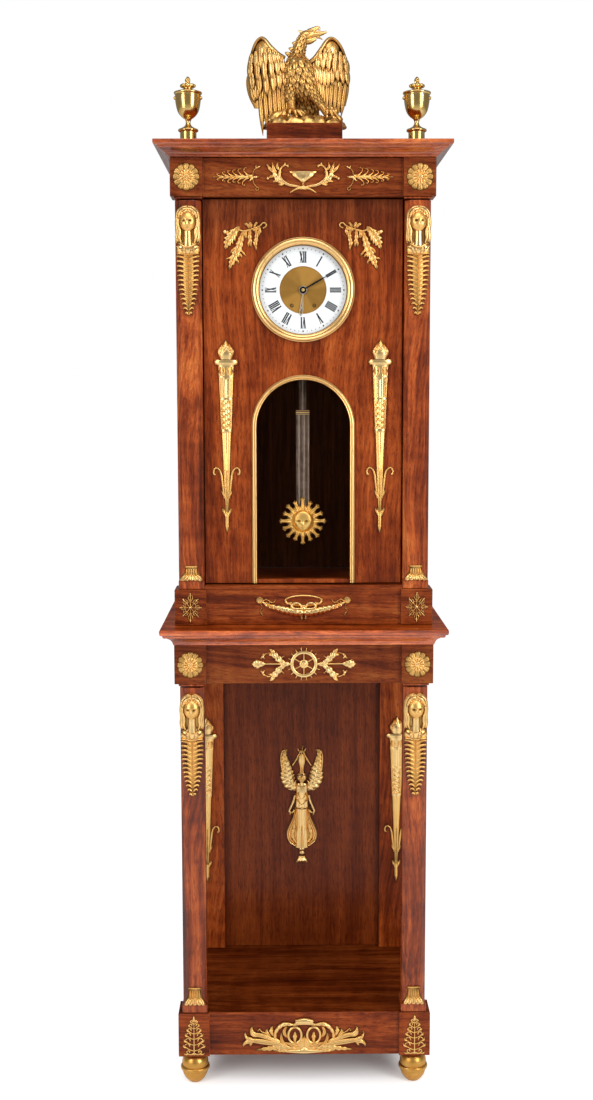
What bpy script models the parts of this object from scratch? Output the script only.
"""Longcase clock: a mahogany case on an open stand, with gilt mounts and a pendulum movement."""

import math

import bmesh
import bpy
from mathutils import Matrix, Vector

# All sizes are in metres. X runs to the right, Y to the back and Z up.
# The origin is on the floor, under the middle of the whole clock.

# Body of the stand and the case
BODY_WIDTH = 0.576
STAND_DEPTH = 0.432
CASE_SETBACK = 0.030
BLOCK_WIDTH = 0.071
RECESS = 0.008
GAP = 0.0003
OVERRUN = 0.002
LIFT = 0.0005
LEAF_ROOT_SHARE = 0.10

# Heights of the stack, from the floor up
FOOT_HEIGHT = 0.072
BASE_HEIGHT = 0.1035
LOWER_DIE_HEIGHT = 0.019
LOWER_SHAFT_HEIGHT = 0.7375
LOWER_NECK_HEIGHT = 0.009
STAND_FRIEZE_HEIGHT = 0.0885
LEDGE_HEIGHT = 0.039
CASE_PLINTH_HEIGHT = 0.0815
UPPER_DIE_HEIGHT = 0.019
UPPER_SHAFT_HEIGHT = 0.8315
UPPER_NECK_HEIGHT = 0.007
CASE_FRIEZE_HEIGHT = 0.0831
CORNICE_HEIGHT = 0.0337

# Mouldings
LEDGE_FRONT_OVERHANG = 0.038
LEDGE_SIDE_OVERHANG = 0.0297
CORNICE_OVERHANG = 0.0334

# Feet
FOOT_RADIUS = 0.0335

# Columns
COLUMN_INSET = 0.038
DIE_WIDTH = 0.0575
LOWER_COLUMN_WIDTH = 0.054
UPPER_COLUMN_WIDTH = 0.057
COLUMN_CHAMFER = 0.0105
COLUMN_SETBACK = 0.006
NECK_PROJECTION = 0.002
FOOT_MOUNT_RELIEF = 0.0025
FOOT_MOUNT_TOP_WIDTH = 0.0285
DIE_CUT = 0.0005
UPPER_FOOT_MOUNT_HEIGHT = 0.0335
UPPER_FOOT_MOUNT_WIDTH = 0.0515
LOWER_FOOT_MOUNT_HEIGHT = 0.0415
LOWER_FOOT_MOUNT_WIDTH = 0.0470

# Back of the stand
REAR_STILE_WIDTH = 0.092
REAR_STILE_DEPTH = 0.049
BACK_PANEL_SETBACK = 0.014
BACK_PANEL_THICKNESS = 0.016

# Case walls
SIDE_THICKNESS = 0.014
CASE_BACK_THICKNESS = 0.012
SIDE_SETBACK = 0.006

# Door
DOOR_SETBACK = 0.0265
DOOR_THICKNESS = 0.020
DOOR_SIDE_CLEARANCE = 0.0025
DOOR_END_CLEARANCE = 0.003
DOOR_CORNER_CHAMFER = 0.002
SILL_HEIGHT = 0.008
SILL_DEPTH = 0.090
DIAL_TOP_MARGIN = 0.0808
DIAL_HOLE_RADIUS = 0.106
ARCH_WIDTH = 0.208
ARCH_TOP_CLEARANCE = 0.0718
ARCH_BOTTOM_RAIL = 0.0085
TRIM_WIDTH = 0.0105
TRIM_THICKNESS = 0.006
GLASS_THICKNESS = 0.003
GLASS_OVERLAP = 0.010
PIVOT_INSET = 0.0035
PIVOT_RADIUS = 0.002
PIVOT_CLEARANCE = 0.0004
PIVOT_LENGTH = 0.012

# Dial bezel
BEZEL_RADIUS = 0.1137
BEZEL_INNER_RADIUS = 0.0975
BEZEL_HEIGHT = 0.012
BEZEL_LIP = 0.0025
BEZEL_GLASS_THICKNESS = 0.0016

# Dial and hands
DIAL_RADIUS = 0.1005
DIAL_PROUD = 0.0125
DIAL_THICKNESS = 0.0025
DIAL_HOLE = 0.0045
DIAL_CENTRE_RADIUS = 0.0512
DIAL_CENTRE_SINK = 0.0006
DIAL_FOOT_RADIUS = 0.0028
DIAL_FOOT_CIRCLE = 0.060
WINDING_HOLE_RADIUS = 0.0042
WINDING_SPREAD = 0.0249
WINDING_DROP = 0.0338
HAND_THICKNESS = 0.0010
HAND_SPACING = 0.0012
HOUR_HAND_LENGTH = 0.056
HOUR_HAND_WIDTH = 0.0075
MINUTE_HAND_LENGTH = 0.082
MINUTE_HAND_WIDTH = 0.0050
HAND_BOSS_RADIUS = 0.0048
HAND_TAIL_LENGTH = 0.016
PIPE_RADIUS = 0.0030
ARBOR_RADIUS = 0.0016
ARBOR_CLEARANCE = 0.0006
MINUTE_HAND_ANGLE = 60.0
HOUR_HAND_ANGLE = 185.0

# Movement
MOVEMENT_SETBACK = 0.028
MOVEMENT_RADIUS = 0.068
PLATE_THICKNESS = 0.0035
PLATE_SPACING = 0.044
PLATE_FOOT_WIDTH = 0.064
PILLAR_RADIUS = 0.004
PILLAR_CIRCLE = 0.061
PILLAR_ANGLES = (25.0, 162.0, 202.0, 270.0, 338.0)
BARREL_RADIUS = 0.0222
BARREL_TOOTH = 0.0018
BARREL_TEETH = 18
BARREL_LENGTH = 0.030
WINDING_SQUARE = 0.0040
ESCAPE_RISE = 0.022
ESCAPE_RADIUS = 0.0150
ESCAPE_TEETH = 15
WHEEL_THICKNESS = 0.0020
PALLET_RISE = 0.0480
PALLET_SPAN_SHARE = 0.92
CRUTCH_LENGTH = 0.075
CRUTCH_WIDTH = 0.005
CRUTCH_FORK = 0.0035
COCK_WIDTH = 0.014
COCK_HEIGHT = 0.010
BELL_RADIUS = 0.036
BELL_WALL = 0.0022
BELL_RISE = 0.108
HAMMER_HEAD_RADIUS = 0.006
HAMMER_LENGTH = 0.050
SEAT_THICKNESS = 0.018
SEAT_DEPTH = 0.049

# Pendulum
PENDULUM_DEPTH = 0.162
ROD_THICKNESS = 0.007
SPRING_WIDTH = 0.008
SPRING_THICKNESS = 0.0012
SPRING_LENGTH = 0.012
UPPER_ROD_WIDTH = 0.017
COLLAR_WIDTH = 0.031
COLLAR_HEIGHT = 0.0105
COLLAR_PROUD = 0.002
COLLAR_RISE_SHARE = 0.4487
LOWER_ROD_WIDTH = 0.0306
PENDULUM_LENGTH = 0.5668
BOB_FACE_RADIUS = 0.0225
BOB_RAY_RADIUS = 0.056
BOB_VALLEY_SHARE = 0.66
BOB_RAYS = 16
BOB_THICKNESS = 0.010
BOB_FACE_PROUD = 0.007

# Top pieces
EAGLE_PLINTH_WIDTH = 0.166
EAGLE_PLINTH_DEPTH = 0.118
EAGLE_PLINTH_HEIGHT = 0.048
EAGLE_PLINTH_SETBACK = 0.088
EAGLE_SHIFT = 0.004
EAGLE_WIDTH = 0.222
EAGLE_HEIGHT = 0.212
EAGLE_DEPTH = 0.110
URN_HEIGHT = 0.143
URN_RADIUS = 0.029
URN_SETBACK = 0.090
URN_STUD_RADIUS = 0.0028

# Mounts
CARYATID_WIDTH = 0.0545
BUST_HEIGHT = 0.105
TAIL_LENGTH = 0.134
TAIL_THICKNESS = 0.005
TAIL_TEETH = 7
BUST_RELIEF = 0.030
CARYATID_DROP = 0.009
TORCH_LENGTH = 0.433
TORCH_WIDTH = 0.061
TORCH_RELIEF = 0.009
UPPER_TORCH_EDGE = 0.0485
UPPER_TORCH_DROP = 0.3005
LOWER_TORCH_EDGE = 0.0495
LOWER_TORCH_DROP = 0.152
SPANDREL_WIDTH = 0.100
SPANDREL_HEIGHT = 0.103
SPANDREL_RELIEF = 0.006
SPANDREL_EDGE = 0.0918
SPANDREL_DROP = 0.050
SWAG_WIDTH = 0.2105
SWAG_HEIGHT = 0.060
SWAG_RELIEF = 0.009
SWAG_DROP = 0.0115
WHEEL_WIDTH = 0.230
WHEEL_RIM_RADIUS = 0.031
WHEEL_RIM_WIDTH = 0.0075
WHEEL_TEETH = 14
WHEEL_TOOTH = 0.0065
WHEEL_HUB_RADIUS = 0.0098
WHEEL_SPOKES = 6
WHEEL_RELIEF = 0.005
FIGURE_WIDTH = 0.106
FIGURE_HEIGHT = 0.310
FIGURE_RELIEF = 0.014
FIGURE_DROP = 0.225
BASE_MOUNT_WIDTH = 0.290
BASE_MOUNT_HEIGHT = 0.083
BASE_MOUNT_RELIEF = 0.008
TAZZA_WIDTH = 0.159
TAZZA_HEIGHT = 0.066
TAZZA_RELIEF = 0.006
SPRAY_LENGTH = 0.107
SPRAY_HEIGHT = 0.052
SPRAY_RELIEF = 0.005
SPRAY_EDGE = 0.146
ROSETTE_RADIUS = 0.0302
ROSETTE_RELIEF = 0.006
OVAL_WIDTH = 0.050
OVAL_HEIGHT = 0.0655
PALMETTE_WIDTH = 0.051
PALMETTE_HEIGHT = 0.094
SMALL_RELIEF = 0.004

# Joints' rest places and the count of facets on round pieces
TURNING_SIDES = 16
RING_SIDES = 40
SMALL_SIDES = 8
SEAM = 0.0001
WELD_REACH = 0.00001

# Levels worked out from the heights
BASE_BOTTOM = FOOT_HEIGHT
BASE_TOP = BASE_BOTTOM + BASE_HEIGHT
LOWER_SHAFT_BOTTOM = BASE_TOP + LOWER_DIE_HEIGHT
LOWER_SHAFT_TOP = LOWER_SHAFT_BOTTOM + LOWER_SHAFT_HEIGHT
STAND_FRIEZE_BOTTOM = LOWER_SHAFT_TOP + LOWER_NECK_HEIGHT
STAND_FRIEZE_TOP = STAND_FRIEZE_BOTTOM + STAND_FRIEZE_HEIGHT
LEDGE_TOP = STAND_FRIEZE_TOP + LEDGE_HEIGHT
CASE_PLINTH_TOP = LEDGE_TOP + CASE_PLINTH_HEIGHT
UPPER_SHAFT_BOTTOM = CASE_PLINTH_TOP + UPPER_DIE_HEIGHT
UPPER_SHAFT_TOP = UPPER_SHAFT_BOTTOM + UPPER_SHAFT_HEIGHT
CASE_FRIEZE_BOTTOM = UPPER_SHAFT_TOP + UPPER_NECK_HEIGHT
CASE_FRIEZE_TOP = CASE_FRIEZE_BOTTOM + CASE_FRIEZE_HEIGHT
CORNICE_TOP = CASE_FRIEZE_TOP + CORNICE_HEIGHT

# Planes from front to back
LEDGE_FRONT = -(STAND_DEPTH + LEDGE_FRONT_OVERHANG) / 2
STAND_FRONT = LEDGE_FRONT + LEDGE_FRONT_OVERHANG
REAR = STAND_FRONT + STAND_DEPTH
CASE_FRONT = STAND_FRONT + CASE_SETBACK
DOOR_FRONT = CASE_FRONT + DOOR_SETBACK
DOOR_BACK = DOOR_FRONT + DOOR_THICKNESS
REAR_STILE_FRONT = REAR - REAR_STILE_DEPTH
BACK_PANEL_FRONT = REAR_STILE_FRONT + BACK_PANEL_SETBACK

# Places across the width
HALF_BODY = BODY_WIDTH / 2
COLUMN_X = HALF_BODY - COLUMN_INSET
DOOR_HALF = COLUMN_X - UPPER_COLUMN_WIDTH / 2 - DOOR_SIDE_CLEARANCE
DOOR_BOTTOM = CASE_PLINTH_TOP + SILL_HEIGHT + DOOR_END_CLEARANCE
DOOR_TOP = CASE_FRIEZE_BOTTOM - DOOR_END_CLEARANCE
DIAL_HEIGHT = DOOR_TOP - DIAL_TOP_MARGIN - BEZEL_RADIUS
ARCH_SPRING_HEIGHT = DIAL_HEIGHT - BEZEL_RADIUS - ARCH_TOP_CLEARANCE - TRIM_WIDTH - ARCH_WIDTH / 2
UPPER_TORCH_SPACING = DOOR_HALF - UPPER_TORCH_EDGE
LOWER_TORCH_SPACING = HALF_BODY - LOWER_TORCH_EDGE
SPANDREL_SPACING = DOOR_HALF - SPANDREL_EDGE
SPRAY_SPACING = HALF_BODY - SPRAY_EDGE
UPPER_TORCH_TOP = DOOR_TOP - UPPER_TORCH_DROP
LOWER_TORCH_TOP = LOWER_SHAFT_TOP - LOWER_TORCH_DROP
SPANDREL_TOP = DOOR_TOP - SPANDREL_DROP
SWAG_TOP = CASE_PLINTH_TOP - SWAG_DROP
FIGURE_TOP = LOWER_SHAFT_TOP - FIGURE_DROP
HINGE_X = DOOR_HALF - PIVOT_INSET
HINGE_Y = DOOR_FRONT + PIVOT_INSET

# Movement planes
DIAL_FACE = DOOR_BACK - DIAL_PROUD
DIAL_BACK = DIAL_FACE + DIAL_THICKNESS
FRONT_PLATE_FACE = DIAL_FACE + MOVEMENT_SETBACK
BACK_PLATE_FACE = FRONT_PLATE_FACE + PLATE_THICKNESS + PLATE_SPACING
BACK_PLATE_REAR = BACK_PLATE_FACE + PLATE_THICKNESS
PENDULUM_Y = STAND_FRONT + PENDULUM_DEPTH
PALLET_HEIGHT = DIAL_HEIGHT + PALLET_RISE
BOB_HEIGHT = PALLET_HEIGHT - PENDULUM_LENGTH
COLLAR_TOP_HEIGHT = BOB_HEIGHT + COLLAR_RISE_SHARE * PENDULUM_LENGTH
SEAT_TOP = DIAL_HEIGHT - MOVEMENT_RADIUS - GAP
HOUR_HAND_BACK = DIAL_FACE - HAND_SPACING
MINUTE_HAND_BACK = HOUR_HAND_BACK - HAND_THICKNESS - HAND_SPACING

for old in list(bpy.data.objects):
    bpy.data.objects.remove(old, do_unlink=True)

CLOCK = bpy.data.collections.new("longcase_clock")
CUTTERS = bpy.data.collections.new("cutters")
bpy.context.scene.collection.children.link(CLOCK)
bpy.context.scene.collection.children.link(CUTTERS)


def material(name, colour, roughness, metallic, alpha=1.0):
    """A plain surface of one colour."""
    made = bpy.data.materials.new(name)
    made.use_nodes = True
    shader = made.node_tree.nodes["Principled BSDF"]
    shader.inputs["Base Color"].default_value = (*colour, 1.0)
    shader.inputs["Roughness"].default_value = roughness
    shader.inputs["Metallic"].default_value = metallic
    shader.inputs["Alpha"].default_value = alpha
    return made


def keep(name, mesh, surface, location=(0, 0, 0), rotation=(0, 0, 0)):
    """A finished piece of the clock, in its own material."""
    mesh.name = name
    piece = bpy.data.objects.new(name, mesh)
    piece.location = location
    piece.rotation_euler = rotation
    CLOCK.objects.link(piece)
    own = surface.copy()
    own.name = name
    mesh.materials.clear()
    mesh.materials.append(own)
    return piece


def tool(name, mesh, location=(0, 0, 0), rotation=(0, 0, 0)):
    """A shape that only cuts or joins another one."""
    piece = bpy.data.objects.new(name, mesh)
    piece.location = location
    piece.rotation_euler = rotation
    piece.hide_render = True
    piece.display_type = "WIRE"
    CUTTERS.objects.link(piece)
    return piece


def boolean(piece, other, operation, overlapping=False):
    """Cut or join with the exact solver."""
    step = piece.modifiers.new(operation.lower(), "BOOLEAN")
    step.operation = operation
    step.solver = "EXACT"
    step.object = other
    step.use_self = overlapping
    return step


def mesh_from(shape):
    """A mesh data block out of a bmesh."""
    mesh = bpy.data.meshes.new("shape")
    shape.to_mesh(mesh)
    shape.free()
    return mesh


def evaluated_mesh(piece, merge=SEAM):
    """The finished mesh of an object with its modifiers, and the object gone."""
    bpy.context.view_layer.update()
    graph = bpy.context.evaluated_depsgraph_get()
    mesh = bpy.data.meshes.new_from_object(piece.evaluated_get(graph))
    matrix = piece.matrix_world.copy()
    bpy.data.objects.remove(piece, do_unlink=True)
    shape = bmesh.new()
    shape.from_mesh(mesh)
    bpy.data.meshes.remove(mesh)
    bmesh.ops.remove_doubles(shape, verts=shape.verts, dist=merge)
    bmesh.ops.transform(shape, matrix=matrix, verts=shape.verts)
    return mesh_from(shape)


def add_mesh(shape, mesh, matrix=Matrix.Identity(4)):
    """Adds a mesh to a bmesh, placed by a matrix."""
    mesh.transform(matrix)
    shape.from_mesh(mesh)
    bpy.data.meshes.remove(mesh)


def add_box(shape, low, high):
    """A box between two corners."""
    size = Vector(high) - Vector(low)
    middle = (Vector(high) + Vector(low)) / 2
    bmesh.ops.create_cube(shape, size=1.0, matrix=Matrix.Translation(middle) @ Matrix.Diagonal((*size, 1.0)))


def box_mesh(low, high):
    """One box as a mesh."""
    shape = bmesh.new()
    add_box(shape, low, high)
    return mesh_from(shape)


def ring_corners(level):
    """The corners of one level: left, right, front, back, height and the cut of its corners."""
    left, right, front, back, height = level[:5]
    if len(level) == 5:
        return [(left, front, height), (right, front, height), (right, back, height), (left, back, height)]
    cut = level[5]
    return [
        (left + cut, front, height),
        (right - cut, front, height),
        (right, front + cut, height),
        (right, back - cut, height),
        (right - cut, back, height),
        (left + cut, back, height),
        (left, back - cut, height),
        (left, front + cut, height),
    ]


def levels_mesh(levels):
    """A solid drawn up from one face by extruding it through its levels."""
    shape = bmesh.new()
    ring = [shape.verts.new(place) for place in ring_corners(levels[0])]
    face = shape.faces.new(ring)
    for number, level in enumerate(levels[1:]):
        grown = bmesh.ops.extrude_face_region(shape, geom=[face])
        risen = [item for item in grown["geom"] if isinstance(item, bmesh.types.BMFace)][0]
        old_places = [vert.co.copy() for vert in ring]
        new_places = ring_corners(level)
        new_ring = [None] * len(ring)
        for vert in risen.verts:
            index = min(range(len(ring)), key=lambda i: (old_places[i] - vert.co).length)
            new_ring[index] = vert
        if number:
            bmesh.ops.delete(shape, geom=[face], context="FACES_ONLY")
        for vert, place in zip(new_ring, new_places):
            vert.co = place
        face = risen
        ring = new_ring
    bmesh.ops.recalc_face_normals(shape, faces=shape.faces)
    return mesh_from(shape)


def turned_mesh(profile, sides=TURNING_SIDES, closed=False):
    """A turned solid. The profile's points are a radius and a height, from the top down."""
    mesh = bpy.data.meshes.new("profile")
    edges = [(i, i + 1) for i in range(len(profile) - 1)]
    if closed:
        edges.append((len(profile) - 1, 0))
    mesh.from_pydata([(radius, 0, height) for radius, height in profile], edges, [])
    piece = bpy.data.objects.new("turning", mesh)
    CUTTERS.objects.link(piece)
    screw = piece.modifiers.new("screw", "SCREW")
    screw.steps = sides
    screw.render_steps = sides
    screw.use_merge_vertices = True
    screw.merge_threshold = SEAM
    made = evaluated_mesh(piece)
    shape = bmesh.new()
    shape.from_mesh(made)
    bpy.data.meshes.remove(made)
    bmesh.ops.recalc_face_normals(shape, faces=shape.faces)
    return mesh_from(shape)


def smooth(piece, degrees=35.0):
    """Round pieces are shaded smooth up to their edges."""
    piece.data.shade_smooth()
    piece.data.set_sharp_from_angle(angle=math.radians(degrees))
    return piece


def outline_mesh(outlines, thickness):
    """A flat piece in the XZ plane. Its back is at Y zero and its front faces the viewer."""
    curve = bpy.data.curves.new("outline", "CURVE")
    curve.dimensions = "2D"
    curve.fill_mode = "BOTH"
    curve.extrude = thickness / 2
    for points in outlines:
        line = curve.splines.new("POLY")
        line.points.add(len(points) - 1)
        for point, (x, z) in zip(line.points, points):
            point.co = (x, z, 0, 1)
        line.use_cyclic_u = True
    piece = bpy.data.objects.new("outline", curve)
    CUTTERS.objects.link(piece)
    piece.rotation_euler = (math.radians(90), 0, 0)
    piece.location = (0, -thickness / 2, 0)
    mesh = evaluated_mesh(piece)
    bpy.data.curves.remove(curve)
    return mesh


def tube_mesh(points, radii, fineness=1):
    """A round rod along points, thick or thin by its radii."""
    curve = bpy.data.curves.new("tube", "CURVE")
    curve.dimensions = "3D"
    curve.fill_mode = "FULL"
    curve.bevel_depth = 1.0
    curve.bevel_resolution = fineness
    curve.use_fill_caps = True
    line = curve.splines.new("POLY")
    line.points.add(len(points) - 1)
    for point, place, radius in zip(line.points, points, radii):
        point.co = (*place, 1)
        point.radius = radius
    piece = bpy.data.objects.new("tube", curve)
    CUTTERS.objects.link(piece)
    mesh = evaluated_mesh(piece)
    bpy.data.curves.remove(curve)
    return mesh


def circle_points(radius, count, centre=(0, 0), start=0.0):
    """Points round a circle."""
    places = []
    for i in range(count):
        angle = math.radians(start) + math.tau * i / count
        places.append((centre[0] + radius * math.cos(angle), centre[1] + radius * math.sin(angle)))
    return places


def add_blob(shape, place, sizes, turn=0.0, tilt=0.0, sides=0):
    """An egg shape with three half sizes, turned in the XZ plane and tilted about X."""
    matrix = Matrix.Translation(place)
    matrix = matrix @ Matrix.Rotation(math.radians(-turn), 4, "Y")
    matrix = matrix @ Matrix.Rotation(math.radians(tilt), 4, "X")
    matrix = matrix @ Matrix.Diagonal((*sizes, 1.0))
    if sides:
        rings = max(4, sides // 2 + 1)
        bmesh.ops.create_uvsphere(shape, u_segments=sides, v_segments=rings, radius=1.0, matrix=matrix)
    else:
        bmesh.ops.create_icosphere(shape, subdivisions=1, radius=1.0, matrix=matrix)


def add_leaf(shape, start, end, width, relief):
    """A pointed leaf with a ridge, from one place in the XZ plane to another."""
    root = Vector(start).lerp(Vector(end), -LEAF_ROOT_SHARE)
    tip = Vector(end)
    middle = (root + tip) / 2
    run = tip - root
    matrix = Matrix.Translation((middle.x, -LIFT, middle.y))
    matrix = matrix @ Matrix.Rotation(math.atan2(run.x, run.y), 4, "Y")
    matrix = matrix @ Matrix.Diagonal((width / 2, relief - LIFT, run.length / 2, 1.0))
    bmesh.ops.create_uvsphere(shape, u_segments=4, v_segments=2, radius=1.0, matrix=matrix)


def add_stroke(shape, points, radii, fineness=0, depth=None):
    """A rounded stem along points in the XZ plane."""
    y = -LIFT if depth is None else depth
    add_mesh(shape, tube_mesh([(x, y, z) for x, z in points], radii, fineness))


def add_plate(shape, outlines, thickness):
    """A flat plate that reaches behind the back of a casting."""
    add_mesh(shape, outline_mesh(outlines, thickness + OVERRUN), Matrix.Translation((0, OVERRUN, 0)))


def add_disc(shape, centre, radius, thickness, sides=SMALL_SIDES):
    """A low round disc that faces the viewer."""
    matrix = Matrix.Translation((centre[0], -LIFT, centre[1])) @ Matrix.Rotation(math.radians(90), 4, "X")
    bmesh.ops.create_cone(
        shape,
        cap_ends=True,
        segments=sides,
        radius1=radius,
        radius2=radius * 0.8,
        depth=2 * thickness,
        matrix=matrix,
    )


def cast(name, shape, surface, place, reach, floor=None):
    """A casting: its overlapping shapes are joined, and its back is cut flat at Y zero."""
    back = box_mesh((-reach, 0, -reach), (reach, reach, reach))
    piece = keep(name, mesh_from(shape), surface, place)
    boolean(piece, tool(name + "_back", back, place), "DIFFERENCE", True)
    weld = piece.modifiers.new("weld", "WELD")
    weld.merge_threshold = WELD_REACH
    if floor is not None:
        under = box_mesh((-reach, -reach, floor - reach), (reach, reach, floor))
        boolean(piece, tool(name + "_under", under, place), "DIFFERENCE")
    return piece


def mirrored(points):
    """The same points on the other side."""
    return [(-x, z) for x, z in points]


def scaled(shares, width, height):
    """Points given as shares of a width and a height."""
    return [(x * width, z * height) for x, z in shares]


WOOD = material("mahogany", (0.24, 0.075, 0.03), 0.28, 0.0)
DARK_WOOD = material("oak_inside", (0.10, 0.045, 0.02), 0.6, 0.0)
GILT = material("gilt_bronze", (0.83, 0.58, 0.23), 0.30, 1.0)
BRASS = material("brass", (0.80, 0.60, 0.27), 0.35, 1.0)
STEEL = material("steel", (0.50, 0.50, 0.50), 0.30, 1.0)
BLUED = material("blued_steel", (0.03, 0.04, 0.10), 0.30, 1.0)
ENAMEL = material("white_enamel", (0.86, 0.87, 0.88), 0.20, 0.0)
GLASS = material("glass", (0.90, 0.95, 0.95), 0.03, 0.0, 0.2)

# Feet: turned gilt bowls, widest half way up
FOOT_SHARES = (
    (0.0, 1.0),
    (0.74, 1.0),
    (0.85, 0.76),
    (1.0, 0.52),
    (0.89, 0.43),
    (0.90, 0.36),
    (0.76, 0.20),
    (0.48, 0.0),
    (0.0, 0.0),
)


def make_feet():
    profile = [(r * FOOT_RADIUS, h * (FOOT_HEIGHT - GAP)) for r, h in FOOT_SHARES]
    middle = BLOCK_WIDTH / 2
    rows = (("front", STAND_FRONT + middle), ("back", REAR - middle))
    for row, y in rows:
        for side, sign in (("left", -1), ("right", 1)):
            place = (sign * (HALF_BODY - middle), y, 0)
            smooth(keep(f"foot_{row}_{side}", turned_mesh(profile), GILT, place))


def blocked_slab(name, front, bottom, top, extra=()):
    """A band of the carcass whose corners stand forward of its front and side panels."""
    low = (-HALF_BODY, front, bottom + GAP)
    high = (HALF_BODY, REAR, top)
    slab = keep(name, box_mesh(low, high), WOOD)
    inner = HALF_BODY - BLOCK_WIDTH
    cuts = bmesh.new()
    add_box(cuts, (-inner, front - OVERRUN, bottom - OVERRUN), (inner, front + RECESS, top + OVERRUN))
    for sign in (-1, 1):
        edge = sign * (HALF_BODY + OVERRUN)
        wall = sign * (HALF_BODY - RECESS)
        x_low, x_high = min(edge, wall), max(edge, wall)
        y_low, y_high = front + BLOCK_WIDTH, REAR - BLOCK_WIDTH
        add_box(cuts, (x_low, y_low, bottom - OVERRUN), (x_high, y_high, top + OVERRUN))
    boolean(slab, tool(name + "_recess", mesh_from(cuts)), "DIFFERENCE")
    for index, mesh in enumerate(extra):
        boolean(slab, tool(f"{name}_join_{index}", mesh), "UNION", True)
    return slab


ROSETTE_SHARES = (
    (0.0, 1.0),
    (0.16, 1.0),
    (0.24, 0.62),
    (0.40, 0.82),
    (0.86, 0.70),
    (1.0, 0.35),
    (1.0, -1.0),
    (0.0, -1.0),
)


def rosette_mesh(x, front, z):
    """A round mount let into a corner block."""
    profile = [(r * ROSETTE_RADIUS, h * ROSETTE_RELIEF) for r, h in ROSETTE_SHARES]
    mesh = turned_mesh(profile)
    mesh.transform(Matrix.Translation((x, front, z)) @ Matrix.Rotation(math.radians(90), 4, "X"))
    return mesh


def oval_mesh(x, front, z):
    """The outer form of an oval mount."""
    points = [(OVAL_WIDTH / 2 * a, OVAL_HEIGHT / 2 * b) for a, b in circle_points(1, SMALL_SIDES)]
    mesh = outline_mesh([points], 2 * SMALL_RELIEF)
    mesh.transform(Matrix.Translation((x, front + SMALL_RELIEF, z)))
    return mesh


PALMETTE_SHARES = ((0.0, 1.0), (0.34, 0.72), (0.5, 0.38), (0.28, 0.16), (0.5, 0.0))


def palmette_mesh(x, front, z):
    """The outer form of a palmette mount."""
    half = scaled(PALMETTE_SHARES, PALMETTE_WIDTH, PALMETTE_HEIGHT)
    mesh = outline_mesh([half + mirrored(half[:0:-1])], 2 * SMALL_RELIEF)
    mesh.transform(Matrix.Translation((x, front + SMALL_RELIEF, z)))
    return mesh


def make_carcass():
    block_x = HALF_BODY - BLOCK_WIDTH / 2
    signs = (-1, 1)
    palmette_foot = BASE_BOTTOM + (BASE_HEIGHT - PALMETTE_HEIGHT) / 2
    mounts = [palmette_mesh(s * block_x, STAND_FRONT, palmette_foot) for s in signs]
    blocked_slab("base_plinth", STAND_FRONT, BASE_BOTTOM, BASE_TOP - GAP, mounts)
    middle = (STAND_FRIEZE_BOTTOM + STAND_FRIEZE_TOP) / 2
    mounts = [rosette_mesh(s * block_x, STAND_FRONT, middle) for s in signs]
    blocked_slab("stand_frieze", STAND_FRONT, STAND_FRIEZE_BOTTOM, STAND_FRIEZE_TOP - GAP, mounts)

    middle = (LEDGE_TOP + CASE_PLINTH_TOP) / 2
    joins = [oval_mesh(s * block_x, CASE_FRONT, middle) for s in signs]
    sill_front = CASE_FRONT + RECESS - OVERRUN
    inner = COLUMN_X - DIE_WIDTH / 2 - GAP
    sill_top = CASE_PLINTH_TOP + SILL_HEIGHT
    round_over = SILL_HEIGHT / 3
    sill = levels_mesh(
        [
            (-inner, inner, sill_front + round_over, sill_front + SILL_DEPTH, CASE_PLINTH_TOP - OVERRUN),
            (-inner, inner, sill_front, sill_front + SILL_DEPTH, CASE_PLINTH_TOP + round_over),
            (-inner, inner, sill_front + round_over, sill_front + SILL_DEPTH, sill_top),
        ]
    )
    joins.append(sill)
    joins.append(pivot_mesh(sill_top, 1))
    blocked_slab("case_plinth", CASE_FRONT, LEDGE_TOP, CASE_PLINTH_TOP - GAP, joins)

    middle = (CASE_FRIEZE_BOTTOM + CASE_FRIEZE_TOP) / 2
    joins = [rosette_mesh(s * block_x, CASE_FRONT, middle) for s in signs]
    joins.append(pivot_mesh(CASE_FRIEZE_BOTTOM, -1))
    blocked_slab("case_frieze", CASE_FRONT, CASE_FRIEZE_BOTTOM, CASE_FRIEZE_TOP - GAP, joins)


def pivot_mesh(seat, sign):
    """The pin that the door turns on. It rises out of the sill or hangs from the frieze."""
    low = min(seat - sign * OVERRUN, seat + sign * PIVOT_LENGTH)
    high = max(seat - sign * OVERRUN, seat + sign * PIVOT_LENGTH)
    mesh = turned_mesh([(0, high), (PIVOT_RADIUS, high), (PIVOT_RADIUS, low), (0, low)], SMALL_SIDES)
    mesh.transform(Matrix.Translation((HINGE_X, HINGE_Y, 0)))
    return mesh


# Ledge and cornice sections: share of the overhang and share of the height, from the bottom up
LEDGE_SHARES = (
    (0.0, 0.0), (0.06, 0.10), (0.22, 0.36), (0.44, 0.55), (0.44, 0.62), (0.74, 0.62), (0.74, 0.78),
    (0.94, 0.78), (1.0, 0.84), (1.0, 0.96), (0.96, 1.0),
)
CORNICE_SHARES = (
    (0.03, 0.0), (0.06, 0.06), (0.20, 0.16), (0.40, 0.38), (0.66, 0.56), (0.70, 0.66), (0.94, 0.70),
    (1.0, 0.75), (1.0, 0.96), (0.97, 1.0),
)


def moulding_levels(shares, front, bottom, height, front_reach, side_reach):
    """Levels of a slab whose front and ends carry a moulding and whose back is flat."""
    levels = []
    for out, up in shares:
        half = HALF_BODY + out * side_reach
        levels.append((-half, half, front - out * front_reach, REAR, bottom + up * height))
    return levels


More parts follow.
